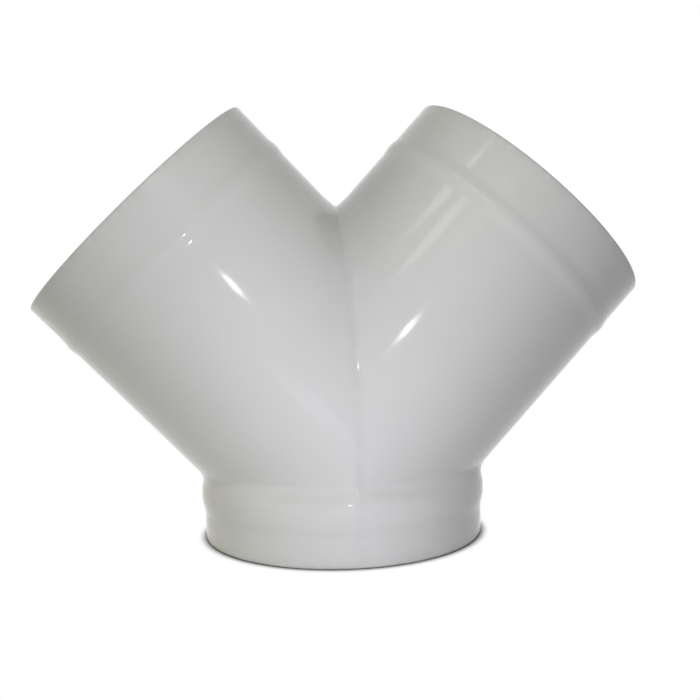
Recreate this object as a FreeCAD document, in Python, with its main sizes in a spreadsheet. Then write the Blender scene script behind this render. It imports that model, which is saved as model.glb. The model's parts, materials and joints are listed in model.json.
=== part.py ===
import FreeCAD, Part
import math
import os

import Sketcher
from FreeCAD import Placement, Rotation, Vector

# Duct Y branch: one moulded fitting that splits a round duct into two equal outlets.
# Lengths are in millimetres and angles in degrees. The origin is the centre of the
# collar's bottom rim, +Z is up, and the outlets lean out towards -X and +X.

doc = FreeCAD.newDocument("duct_y_branch")

# Driving dimensions
sizes = doc.addObject("Spreadsheet::Sheet", "sizes")
rows = [
    ("tube_radius", "50", "outside radius of the collar and of both outlets"),
    ("wall_thickness", "2", "thickness of the moulded wall everywhere"),
    ("collar_height", "43", "bottom rim to the point where the three axes meet"),
    ("outlet_length", "103", "that point to each outlet's rim, along the outlet's axis"),
    ("outlet_angle", "43", "each outlet's lean away from the collar's axis"),
    ("outlet_spigot", "16.6", "plain length of each outlet's spigot, rim to stop bead"),
    ("bead_width", "5", "width of an outlet's stop bead along the tube"),
    ("bead_height", "0.6", "how far a stop bead stands out of the tube"),
    ("collar_spigot", "12", "plain length of the collar's spigot, rim to shoulder"),
    ("shoulder_width", "7.5", "width of the collar's shoulder along the tube"),
    ("shoulder_height", "1.2", "how far the shoulder stands out of the tube"),
    ("rim_round", "0.8", "rounding of each rim's outer edge"),
    ("mouth_chamfer", "0.4", "chamfer of each rim's inner edge"),
]
for line, (alias, value, meaning) in enumerate(rows, 1):
    sizes.set("A%d" % line, alias)
    sizes.set("B%d" % line, value)
    sizes.set("C%d" % line, meaning)
    sizes.setAlias("B%d" % line, alias)
doc.recompute()

# The fitting is a single moulding, so it is one body
body = doc.addObject("PartDesign::Body", "y_branch")
body.Label = "y_branch"
body.Placement = Placement(Vector(0, 0, 0), Rotation())
planes = {plane.Role: plane for plane in body.Origin.OriginFeatures}


def half_section(name, on_outlet):
    """An empty sketch in the plane of the three axes. Its origin is the middle of a rim,
    and its upright axis is that tube's axis, pointing to where the three axes meet."""
    sketch = body.newObject("Sketcher::SketchObject", name)
    sketch.AttachmentSupport = (planes["XZ_Plane"], [""])
    sketch.MapMode = "FlatFace"
    if on_outlet:
        sketch.AttachmentOffset = Placement(Vector(), Rotation(Vector(0, 0, 1), 180 - sizes.outlet_angle))
        for part, value in (
            ("Base.x", "sizes.outlet_length * sin(sizes.outlet_angle * 1 deg)"),
            ("Base.y", "sizes.collar_height + sizes.outlet_length * cos(sizes.outlet_angle * 1 deg)"),
            ("Rotation.Angle", "(180 - sizes.outlet_angle) * 1 deg"),
        ):
            sketch.setExpression("AttachmentOffset." + part, value)
    return sketch


def line_between(x1, y1, x2, y2):
    return Part.LineSegment(Vector(x1, y1, 0), Vector(x2, y2, 0))


def arc_about(x, y, radius, start, end):
    """A circular arc about (x, y), from one direction round to another, in radians."""
    return Part.ArcOfCircle(Part.Circle(Vector(x, y, 0), Vector(0, 0, 1), radius), start, end)


def constrain(sketch, rules, dimensions):
    """Geometric rules first, then named dimensions whose values come from the sheet."""
    for rule in rules:
        sketch.addConstraint(Sketcher.Constraint(*rule))
    for name, rule, value in dimensions:
        number = sketch.addConstraint(Sketcher.Constraint(*rule))
        sketch.renameConstraint(number, name)
        sketch.setExpression("Constraints." + name, value)


def tube_outside(name, length, stop, on_outlet):
    """Outside of one tube: rounded rim, plain spigot, rounded stop, then plain tube to the middle.
    The stop is given by the names of the spigot's length and of the stop's width and height."""
    sketch = half_section(name, on_outlet)
    reach, radius, ease = sizes.get(length), sizes.tube_radius, sizes.rim_round
    low, width, height = (sizes.get(size) for size in stop)
    crest_radius = (width**2 / 4 + height**2) / (2 * height)
    lean = math.asin(width / 2 / crest_radius)
    rim, rim_edge, spigot, crest, tube, top, axis = sketch.addGeometry(
        [
            line_between(0, 0, radius - ease, 0),
            arc_about(radius - ease, ease, ease, -math.pi / 2, 0),
            line_between(radius, ease, radius, low),
            arc_about(radius + height - crest_radius, low + width / 2, crest_radius, -lean, lean),
            line_between(radius, low + width, radius, reach),
            line_between(radius, reach, 0, reach),
            line_between(0, reach, 0, 0),
        ],
        False,
    )
    rules = [
        ("Coincident", rim, 1, -1, 1),
        ("Horizontal", rim),
        ("Tangent", rim, 2, rim_edge, 1),
        ("Tangent", rim_edge, 2, spigot, 1),
        ("Vertical", spigot),
        ("Coincident", spigot, 2, crest, 1),
        ("Coincident", crest, 2, tube, 1),
        ("Vertical", tube),
        ("Coincident", tube, 2, top, 1),
        ("Horizontal", top),
        ("Coincident", top, 2, axis, 1),
        ("Coincident", axis, 2, rim, 1),
        ("Vertical", axis),
    ]
    dimensions = [
        ("rim_round", ("Radius", rim_edge, ease), "sizes.rim_round"),
        ("spigot_radius", ("DistanceX", -1, 1, spigot, 1, radius), "sizes.tube_radius"),
        ("spigot_length", ("DistanceY", -1, 1, spigot, 2, low), "sizes.%s" % stop[0]),
        ("stop_width", ("DistanceY", spigot, 2, tube, 1, width), "sizes.%s" % stop[1]),
        (
            "crest_radius",
            ("Radius", crest, crest_radius),
            "(sizes.{1} ^ 2 / 4 + sizes.{2} ^ 2) / (2 * sizes.{2})".format(*stop),
        ),
        ("tube_radius", ("DistanceX", -1, 1, tube, 2, radius), "sizes.tube_radius"),
        ("length", ("DistanceY", -1, 1, tube, 2, reach), "sizes." + length),
    ]
    constrain(sketch, rules, dimensions)
    return sketch


def tube_bore(name, length, on_outlet):
    """Airway of one tube: a chamfered mouth, then a plain bore to the middle."""
    sketch = half_section(name, on_outlet)
    reach, flare = sizes.get(length), sizes.mouth_chamfer
    radius = sizes.tube_radius - sizes.wall_thickness
    mouth, chamfer, wall, top, axis = sketch.addGeometry(
        [
            line_between(0, 0, radius + flare, 0),
            line_between(radius + flare, 0, radius, flare),
            line_between(radius, flare, radius, reach),
            line_between(radius, reach, 0, reach),
            line_between(0, reach, 0, 0),
        ],
        False,
    )
    rules = [
        ("Coincident", mouth, 1, -1, 1),
        ("Horizontal", mouth),
        ("Coincident", mouth, 2, chamfer, 1),
        ("Coincident", chamfer, 2, wall, 1),
        ("Vertical", wall),
        ("Coincident", wall, 2, top, 1),
        ("Horizontal", top),
        ("Coincident", top, 2, axis, 1),
        ("Coincident", axis, 2, mouth, 1),
        ("Vertical", axis),
    ]
    dimensions = [
        ("chamfer_across", ("DistanceX", chamfer, 2, chamfer, 1, flare), "sizes.mouth_chamfer"),
        ("chamfer_along", ("DistanceY", chamfer, 1, chamfer, 2, flare), "sizes.mouth_chamfer"),
        ("bore_radius", ("DistanceX", -1, 1, wall, 2, radius), "sizes.tube_radius - sizes.wall_thickness"),
        ("length", ("DistanceY", -1, 1, wall, 2, reach), "sizes." + length),
    ]
    constrain(sketch, rules, dimensions)
    return sketch


def turned(kind, name, sketch):
    """The sketch turned once about its tube's axis, as added or removed material."""
    feature = body.newObject("PartDesign::" + kind, name)
    feature.Profile = sketch
    feature.ReferenceAxis = (sketch, ["V_Axis"])
    feature.Angle = 360
    doc.recompute()
    return feature


def other_side(name, feature):
    """The same feature again on the opposite outlet."""
    mirror = body.newObject("PartDesign::Mirrored", name)
    mirror.Originals = [feature]
    mirror.MirrorPlane = (planes["YZ_Plane"], [""])
    body.Tip = mirror
    doc.recompute()
    return mirror


# Outside: three equal tubes run to one point and meet along mitre lines
shoulder = ("collar_spigot", "shoulder_width", "shoulder_height")
turned("Revolution", "collar", tube_outside("collar_outside", "collar_height", shoulder, False))
stop_bead = ("outlet_spigot", "bead_width", "bead_height")
outlet_section = tube_outside("right_outlet_outside", "outlet_length", stop_bead, True)
right_outlet = turned("Revolution", "right_outlet", outlet_section)
other_side("left_outlet", right_outlet)
solid_volume = body.Shape.Volume

# Airways: three equal bores on the same axes leave one even wall, at the junction too
turned("Groove", "collar_airway", tube_bore("collar_bore", "collar_height", False))
right_airway = turned("Groove", "right_airway", tube_bore("right_outlet_bore", "outlet_length", True))
other_side("left_airway", right_airway)

# The finished piece has to be one sound solid, hollow right through
for item in doc.Objects:
    if "Invalid" in item.State or "Error" in item.State:
        raise RuntimeError("%s failed: %s" % (item.Label, item.State))
shape = body.Shape
if shape.isNull() or not shape.isValid() or len(shape.Solids) != 1:
    raise RuntimeError("the Y branch isn't one valid solid")


def three_tubes(radius):
    """Volume of three plain tubes of this radius that end on their shared mitre lines."""
    lean = math.radians(sizes.outlet_angle)
    runs = 2 * sizes.outlet_length + sizes.collar_height
    shared = 1 / math.tan(lean) + 2 * math.tan(lean / 2)
    return math.pi * radius**2 * runs - 4 / 3 * radius**3 * shared


airway = solid_volume - shape.Volume
if abs(airway / three_tubes(sizes.tube_radius - sizes.wall_thickness) - 1) > 0.002:
    raise RuntimeError("the three airways don't run through to one another")

os.makedirs("parts", exist_ok=True)
shape.exportStep("parts/%s.step" % body.Label)
print("y_branch: %.0f mm3, %d faces" % (shape.Volume, len(shape.Faces)))
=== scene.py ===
import json
import math

import bpy
from mathutils import Matrix, Vector

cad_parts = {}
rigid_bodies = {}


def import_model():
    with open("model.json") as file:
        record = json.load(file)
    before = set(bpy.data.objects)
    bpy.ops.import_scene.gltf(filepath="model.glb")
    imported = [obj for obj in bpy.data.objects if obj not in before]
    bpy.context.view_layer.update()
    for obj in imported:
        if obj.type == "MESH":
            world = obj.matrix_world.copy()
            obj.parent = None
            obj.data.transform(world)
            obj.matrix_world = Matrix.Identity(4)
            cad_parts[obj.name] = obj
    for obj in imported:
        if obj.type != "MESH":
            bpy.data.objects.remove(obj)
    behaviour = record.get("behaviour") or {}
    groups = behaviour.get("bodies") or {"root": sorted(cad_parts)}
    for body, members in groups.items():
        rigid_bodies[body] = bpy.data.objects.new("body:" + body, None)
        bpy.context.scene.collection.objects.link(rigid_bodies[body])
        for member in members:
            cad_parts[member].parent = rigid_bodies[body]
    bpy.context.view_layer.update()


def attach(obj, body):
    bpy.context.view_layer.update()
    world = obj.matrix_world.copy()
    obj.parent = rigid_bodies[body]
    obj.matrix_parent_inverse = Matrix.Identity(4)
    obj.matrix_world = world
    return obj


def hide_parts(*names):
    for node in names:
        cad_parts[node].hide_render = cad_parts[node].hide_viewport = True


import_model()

# The wall of the Y branch is one hollow moulding in white ABS. Two leaning outlets of one bore meet
# in a crotch and run down into a short collar, and each end is a plain spigot with a raised stop.
# One outlet is turned, cut and mirrored, then bridged to a turned collar, so the wall is one skin.
tube_radius = 0.050
bore_radius = 0.048
lean = math.radians(43)
collar_height = 0.043
outlet_length = 0.103
rim_round = 0.0008
mouth_round = 0.0005
ring_gap = 0.0004
meeting_point = Vector((0, 0, collar_height))


def rounded_end(length):
    """Corners of a spigot's end, as (distance from the meeting point, radius): the rounded rim, the
    flat end and the eased mouth. A ring beside each rounding keeps the plain runs true cylinders."""
    rim_steps, mouth_steps = 8, 6
    corners = [(length - rim_round - ring_gap, tube_radius)]
    for step in range(rim_steps + 1):
        turn = math.radians(90 * step / rim_steps)
        corners.append((length - rim_round * (1 - math.sin(turn)),
                        tube_radius - rim_round * (1 - math.cos(turn))))
    for step in range(mouth_steps + 1):
        turn = math.radians(90 * step / mouth_steps)
        corners.append((length - mouth_round * (1 - math.cos(turn)),
                        bore_radius + mouth_round * (1 - math.sin(turn))))
    return corners + [(length - mouth_round - ring_gap, bore_radius)]


def turn_section(axis, corners, steps):
    """Draws a half section by extruding one point from corner to corner, spins it round the tube's
    axis, and leaves the whole tube selected in edit mode."""
    across = Vector((axis.z, 0, -axis.x))
    points = [meeting_point + axis * along + across * radius for along, radius in corners]
    bpy.ops.mesh.select_all(action="DESELECT")
    bpy.ops.mesh.primitive_plane_add(size=0.001, location=points[0])
    bpy.ops.mesh.merge(type="CENTER")
    for here, there in zip(points, points[1:]):
        bpy.ops.mesh.extrude_region_move(TRANSFORM_OT_translate={"value": there - here})
    bpy.ops.mesh.select_linked()
    bpy.ops.mesh.spin(steps=steps, angle=2 * math.pi, center=meeting_point, axis=axis)
    bpy.ops.mesh.select_linked()
    bpy.ops.mesh.remove_doubles(threshold=1e-6)
    bpy.ops.mesh.select_linked()


def cut(through, normal, **side):
    """Cuts all that hangs together with the selection by a plane, and clears one side if asked."""
    bpy.ops.mesh.select_linked()
    bpy.ops.mesh.bisect(plane_co=through, plane_no=normal, threshold=1e-7, **side)


# The right outlet has a low stop bead with soft roots. It is turned longer than needed and cut off
# at the crotch and just above the collar, with more cuts close beside those, so that the shading
# turns only there. The left outlet is its mirror image.
spigot_length = 0.0166
bead_width = 0.0050
bead_height = 0.0005
soft_root = bead_width * 0.9
bead_steps = 8
overrun = 0.030
outlet_foot = 0.0265
beside_foot = 0.0010
beside_crease = (0.0007, 0.0014, 0.0022, 0.0032, 0.0044, 0.0058)
outlet_steps = 256
bead_middle = outlet_length - spigot_length - bead_width / 2
outlet_corners = [(-overrun, tube_radius), (bead_middle - soft_root - ring_gap, tube_radius)]
for step in range(2 * bead_steps + 1):
    share = step / bead_steps - 1
    outlet_corners.append((bead_middle + share * soft_root,
                           tube_radius + bead_height * (1 + math.cos(math.pi * share)) / 2))
outlet_corners.append((bead_middle + soft_root + ring_gap, tube_radius))
outlet_corners += rounded_end(outlet_length) + [(-overrun, bore_radius)]

bpy.ops.object.select_all(action="DESELECT")
bpy.ops.mesh.primitive_plane_add(size=0.001)
y_branch = bpy.context.object
y_branch.name = "y_branch_wall"
bpy.ops.object.mode_set(mode="EDIT")
bpy.ops.mesh.delete(type="VERT")
turn_section(Vector((math.sin(lean), 0, math.cos(lean))), outlet_corners, outlet_steps)
cut(meeting_point, (1, 0, 0), clear_inner=True)
cut((0, 0, outlet_foot), (0, 0, 1), clear_inner=True)
for offset in beside_crease:
    cut((offset, 0, 0), (1, 0, 0))
cut((0, 0, outlet_foot + beside_foot), (0, 0, 1))
bpy.ops.object.mode_set(mode="OBJECT")
mirror = y_branch.modifiers.new("other_outlet", "MIRROR")
mirror.merge_threshold = 5e-6
bpy.ops.object.modifier_apply(modifier=mirror.name)

# The crease where the outlets meet is eased, as the mould's edge is. The corners beside it are
# smoothed up and down and to and fro, but not sideways, so that the cuts stay where they are.
crease_reach = 0.0034
same_height = 1e-6


def select_corners(wanted):
    """Selects the corners for which wanted is true, with the edges between them, in edit mode."""
    bpy.ops.object.mode_set(mode="EDIT")
    bpy.ops.mesh.select_all(action="DESELECT")
    bpy.ops.object.mode_set(mode="OBJECT")
    for vertex in y_branch.data.vertices:
        vertex.select = wanted(vertex.co)
    for edge in y_branch.data.edges:
        edge.select = all(y_branch.data.vertices[number].select for number in edge.vertices)
    bpy.ops.object.mode_set(mode="EDIT")


select_corners(lambda corner: abs(corner.x) < crease_reach and corner.z > outlet_foot + same_height)
bpy.ops.mesh.vertices_smooth(factor=0.5, repeat=24, xaxis=False)
bpy.ops.object.mode_set(mode="OBJECT")

# The collar's stop is a shoulder: a gently crowned band with a soft step down to the spigot. It is
# turned with as many steps as the outlets' foot has corners, and both are bridged by a soft blend,
# outside and in the airway.
collar_spigot = 0.0090
shoulder_low = 0.0155
shoulder_crest = 0.0170
shoulder_top = 0.0200
shoulder_height = 0.0010
shoulder_crown = 0.0120
band_steps = 8
fall_steps = 12
blend_rings = 10
same_radius = 1e-4


def at_foot(corner, radius):
    """True for a corner of the outlets' cut foot that lies on their outside or bore of that radius."""
    offset = corner - meeting_point
    from_axis = math.hypot(abs(offset.x) * math.cos(lean) - offset.z * math.sin(lean), offset.y)
    return abs(corner.z - outlet_foot) < same_height and abs(from_axis - radius) < same_radius


def at_top(corner, radius):
    """True for a corner of the collar's top that lies on its outside or bore of that radius."""
    return abs(corner.z - shoulder_top) < same_height and abs(corner.xy.length - radius) < same_radius


foot_steps = sum(at_foot(vertex.co, tube_radius) for vertex in y_branch.data.vertices)
collar_corners = []
for step in range(band_steps + 1):
    height = shoulder_top + (shoulder_crest - shoulder_top) * step / band_steps
    drop = shoulder_crown - math.sqrt(shoulder_crown**2 - (height - shoulder_crest)**2)
    collar_corners.append((collar_height - height, tube_radius + shoulder_height - drop))
for step in range(fall_steps + 1):
    share = step / fall_steps
    collar_corners.append((collar_height - shoulder_low * (1 - share) - collar_spigot * share,
                           tube_radius + shoulder_height * (1 + math.cos(math.pi * share)) / 2))
collar_corners.append((collar_height - collar_spigot + ring_gap, tube_radius))
collar_corners += rounded_end(collar_height) + [(collar_height - shoulder_top, bore_radius)]
bpy.ops.object.mode_set(mode="EDIT")
turn_section(Vector((0, 0, -1)), collar_corners, foot_steps)
for foot_radius, top_radius in ((tube_radius, collar_corners[0][1]), (bore_radius, bore_radius)):
    select_corners(lambda corner: at_foot(corner, foot_radius) or at_top(corner, top_radius))
    bpy.ops.mesh.bridge_edge_loops(number_cuts=blend_rings, interpolation="SURFACE", smoothness=0.8)

bpy.ops.mesh.select_all(action="SELECT")
bpy.ops.mesh.remove_doubles(threshold=2e-6)
bpy.ops.mesh.normals_make_consistent(inside=False)
bpy.ops.object.mode_set(mode="OBJECT")
bpy.ops.object.shade_smooth_by_angle(angle=math.radians(60))

# White ABS, injection moulded in a polished mould. The eye sees an even off-white with a clear gloss
# that a faint orange peel breaks up, a knit line where the two flows of plastic met in the middle,
# and rims that handling has scuffed.
cloud_width = 0.045
patch_width = 0.009
knit_reach = 0.003
scuff_width = 0.003
outlet_scuff_reach = 0.006
collar_scuff_reach = 0.004
peel_width = 0.004
peel_depth = 0.00004


def linear(colour):
    """An sRGB hex colour as the linear numbers that a shader takes."""
    parts = [int(colour[start:start + 2], 16) / 255 for start in (1, 3, 5)]
    return [part / 12.92 if part <= 0.04045 else ((part + 0.055) / 1.055) ** 2.4 for part in parts] + [1]


def add_node(tree, kind, settings=None, values=None, links=None):
    """Adds a node with its settings, its sockets' values and the outputs that feed its sockets."""
    node = tree.nodes.new(kind)
    for name, value in (settings or {}).items():
        setattr(node, name, value)
    for name, value in (values or {}).items():
        node.inputs[name].default_value = value
    for name, output in (links or {}).items():
        tree.links.new(output, node.inputs[name])
    return node


white_abs = bpy.data.materials.new("white_abs_moulded")
white_abs.use_nodes = True
tree = white_abs.node_tree
shader = tree.nodes["Principled BSDF"]
shader.inputs["IOR"].default_value = 1.53
place = add_node(tree, "ShaderNodeTexCoord").outputs["Object"]
spot = add_node(tree, "ShaderNodeSeparateXYZ", links={"Vector": place})
aside = add_node(tree, "ShaderNodeMath", {"operation": "ABSOLUTE"}, links={0: spot.outputs["X"]})

# Clouds in the colour, where the plastic cooled unevenly
clouds = add_node(tree, "ShaderNodeTexNoise", {},
                  {"Scale": 1 / cloud_width, "Detail": 3.0, "Roughness": 0.55}, {"Vector": place})
cloud_share = add_node(tree, "ShaderNodeMapRange", {}, {"From Min": 0.3, "From Max": 0.7},
                       {"Value": clouds.outputs["Fac"]})
body_colour = add_node(tree, "ShaderNodeMix", {"data_type": "RGBA"},
                       {"A": linear("#D9D9D6"), "B": linear("#DCDCD9")},
                       {"Factor": cloud_share.outputs["Result"]})

# The knit line, a soft band to both sides of the middle plane, stronger and weaker in patches
patches = add_node(tree, "ShaderNodeTexNoise", {}, {"Scale": 1 / patch_width, "Detail": 2.0},
                   {"Vector": place})
knit_strength = add_node(tree, "ShaderNodeMapRange", {},
                         {"From Min": 0.35, "From Max": 0.65, "To Min": 0.15, "To Max": 0.75},
                         {"Value": patches.outputs["Fac"]})
knit_band = add_node(tree, "ShaderNodeMapRange", {"interpolation_type": "SMOOTHSTEP"},
                     {"From Min": knit_reach, "From Max": 0.0}, {"Value": aside.outputs["Value"]})
knit_share = add_node(tree, "ShaderNodeMath", {"operation": "MULTIPLY"}, {},
                      {0: knit_band.outputs["Result"], 1: knit_strength.outputs["Result"]})
knit_colour = add_node(tree, "ShaderNodeMix", {"data_type": "RGBA"}, {"B": linear("#D2D2D0")},
                       {"Factor": knit_share.outputs["Value"], "A": body_colour.outputs["Result"]})

# Scuffs on the last few millimetres of each spigot. A height that leans with the outlets tells how
# near an outlet's rim is.
rim_level = collar_height + outlet_length / math.cos(lean)
outlet_level = add_node(tree, "ShaderNodeMath", {"operation": "MULTIPLY_ADD"}, {1: math.tan(lean)},
                        {0: aside.outputs["Value"], 2: spot.outputs["Z"]})
outlet_rim = add_node(tree, "ShaderNodeMapRange", {"interpolation_type": "SMOOTHSTEP"},
                      {"From Min": rim_level - outlet_scuff_reach, "From Max": rim_level},
                      {"Value": outlet_level.outputs["Value"]})
collar_rim = add_node(tree, "ShaderNodeMapRange", {"interpolation_type": "SMOOTHSTEP"},
                      {"From Min": collar_scuff_reach, "From Max": 0.0}, {"Value": spot.outputs["Z"]})
near_rim = add_node(tree, "ShaderNodeMath", {"operation": "MAXIMUM"}, {},
                    {0: outlet_rim.outputs["Result"], 1: collar_rim.outputs["Result"]})
scuffs = add_node(tree, "ShaderNodeTexNoise", {},
                  {"Scale": 1 / scuff_width, "Detail": 4.0, "Roughness": 0.6}, {"Vector": place})
scuff_share = add_node(tree, "ShaderNodeMapRange", {}, {"From Min": 0.4, "From Max": 0.65},
                       {"Value": scuffs.outputs["Fac"]})
scuffed = add_node(tree, "ShaderNodeMath", {"operation": "MULTIPLY"}, {},
                   {0: near_rim.outputs["Value"], 1: scuff_share.outputs["Result"]})
colour = add_node(tree, "ShaderNodeMix", {"data_type": "RGBA"}, {"B": linear("#D0D0CC")},
                  {"Factor": scuffed.outputs["Value"], "A": knit_colour.outputs["Result"]})
tree.links.new(colour.outputs["Result"], shader.inputs["Base Color"])

# The gloss varies a little over the same patches as the knit line, and is duller on the scuffs
gloss = add_node(tree, "ShaderNodeMapRange", {},
                 {"From Min": 0.3, "From Max": 0.7, "To Min": 0.10, "To Max": 0.13},
                 {"Value": patches.outputs["Fac"]})
dulled = add_node(tree, "ShaderNodeMath", {"operation": "MULTIPLY_ADD"}, {1: 0.2},
                  {0: scuffed.outputs["Value"], 2: gloss.outputs["Result"]})
tree.links.new(dulled.outputs["Value"], shader.inputs["Roughness"])

# Orange peel: shallow waves, drawn a little coarser than the real ones so that they show
peel = add_node(tree, "ShaderNodeTexNoise", {}, {"Scale": 1 / peel_width, "Detail": 1.0}, {"Vector": place})
relief = add_node(tree, "ShaderNodeBump", {}, {"Strength": 0.25, "Distance": peel_depth},
                  {"Height": peel.outputs["Fac"]})
tree.links.new(relief.outputs["Normal"], shader.inputs["Normal"])
y_branch.data.materials.append(white_abs)
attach(y_branch, "root")
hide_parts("y_branch")

# The floor is a plain sheet of pale paper that the fitting stands on. It looks white, except close
# under the fitting, where the paper shows its lit shade and so the contact shadow. There the paper's
# colour is also darkened by occlusion, which is a painted contact shadow on top of the lit one.
floor_size = 6
contact_reach = 0.0045


def looked_at(tree):
    """1 for what the camera sees itself, in a reflection or through something, 0 for lighting."""
    ray = add_node(tree, "ShaderNodeLightPath")
    answer = ray.outputs["Is Camera Ray"]
    for kind in ("Is Glossy Ray", "Is Transmission Ray"):
        either = add_node(tree, "ShaderNodeMath", {"operation": "MAXIMUM"}, {},
                          {0: answer, 1: ray.outputs[kind]})
        answer = either.outputs["Value"]
    return answer


bpy.ops.object.select_all(action="DESELECT")
bpy.ops.mesh.primitive_plane_add(size=floor_size)
floor = bpy.context.object
floor.name = "floor"
pale_floor = bpy.data.materials.new("pale_floor_paper")
pale_floor.use_nodes = True
tree = pale_floor.node_tree
paper = tree.nodes["Principled BSDF"]
paper.inputs["Roughness"].default_value = 0.9
# Occlusion darkens the paper's colour close under the fitting, a painted shadow, and also tells where the
# paper lies in the open.
occlusion_and_painted_shade = add_node(tree, "ShaderNodeAmbientOcclusion", {"samples": 12},
                    {"Color": linear("#E6E6E4"), "Distance": contact_reach})
tree.links.new(occlusion_and_painted_shade.outputs["Color"], paper.inputs["Base Color"])
in_the_open = add_node(tree, "ShaderNodeMapRange", {}, {"From Min": 0.5, "From Max": 0.85},
                       {"Value": occlusion_and_painted_shade.outputs["AO"]})
white_share = add_node(tree, "ShaderNodeMath", {"operation": "MULTIPLY"}, {},
                       {0: looked_at(tree), 1: in_the_open.outputs["Result"]})
white = add_node(tree, "ShaderNodeEmission")
shown = add_node(tree, "ShaderNodeMixShader", {}, {},
                 {0: white_share.outputs["Value"], 1: paper.outputs["BSDF"], 2: white.outputs["Emission"]})
tree.links.new(shown.outputs["Shader"], tree.nodes["Material Output"].inputs["Surface"])
floor.data.materials.append(pale_floor)

# The room gives a dim, even light from all round, so that the lamps shape the tubes. Wherever it is
# looked at, by the camera itself or in the gloss, it is white.
world = bpy.data.worlds.new("studio")
bpy.context.scene.world = world
world.use_nodes = True
tree = world.node_tree
room = tree.nodes["Background"]
room.inputs["Color"].default_value = (1, 1, 1, 1)
room.inputs["Strength"].default_value = 0.06
backdrop = add_node(tree, "ShaderNodeBackground", {}, {"Color": (1, 1, 1, 1)})
shown = add_node(tree, "ShaderNodeMixShader", {}, {},
                 {0: looked_at(tree), 1: room.outputs["Background"], 2: backdrop.outputs["Background"]})
tree.links.new(shown.outputs["Shader"], tree.nodes["World Output"].inputs["Surface"])

# The lamps are soft squares in front, at the left and behind. A small bare one by the camera draws
# the bright streaks along the tubes, and two window panes the faint streaks on the right outlet.
lamps_aim = Vector((0, 0, 0.08))


def add_lamp(name, turn, height, distance, size, power, colour="#FFFFFF", mirrored=False):
    """A square lamp, turned round the fitting and raised by so many degrees. It is not in view, and
    only where asked does the gloss mirror it."""
    lamp = bpy.data.lights.new(name, "AREA")
    lamp.size = size
    lamp.energy = power
    lamp.color = linear(colour)[:3]
    holder = bpy.data.objects.new(name, lamp)
    bpy.context.scene.collection.objects.link(holder)
    turn, height = math.radians(turn), math.radians(height)
    back = Vector((math.sin(turn) * math.cos(height), -math.cos(turn) * math.cos(height), math.sin(height)))
    holder.location = lamps_aim + back * distance
    holder.rotation_euler = back.to_track_quat("Z", "Y").to_euler()
    holder.visible_camera = False
    holder.visible_glossy = mirrored


add_lamp("bare_lamp", -2, 9, 0.215, 0.008, 0.0095, mirrored=True)
add_lamp("low_fill", -4, -18, 0.185, 0.04, 0.076, "#F1F2FF")
add_lamp("high_fill", -4, 31, 0.25, 0.06, 0.165)
add_lamp("left_side", -95, 10, 1.0, 0.8, 2.4, "#FFFDD8")
add_lamp("back_fill", 172, 22, 0.30, 0.12, 0.42)
for turn, height in ((-30, 38.5), (-47, 49.5)):
    add_lamp("window_pane", turn, height, 1.0, 0.12, 0.085, mirrored=True)

# The camera stands in front, a little left of the fitting's middle and slightly above it, and looks
# right and down. Its place, turn and lens come from matching the part's outline to the photograph.
camera_data = bpy.data.cameras.new("camera")
camera_data.lens = 53.82
camera = bpy.data.objects.new("camera", camera_data)
bpy.context.scene.collection.objects.link(camera)
camera_place = Vector((-0.0412, -0.3747, 0.1027))
forward = Vector((0.1191, 0.9881, -0.0971)).normalized()
up = Vector((0.0367, 0.0934, 0.995)).normalized()
right = forward.cross(up)
camera_turn = Matrix((right, up, -forward)).transposed().to_4x4()
camera.matrix_world = Matrix.Translation(camera_place) @ camera_turn
bpy.context.scene.camera = camera
bpy.context.scene.view_settings.view_transform = "Standard"
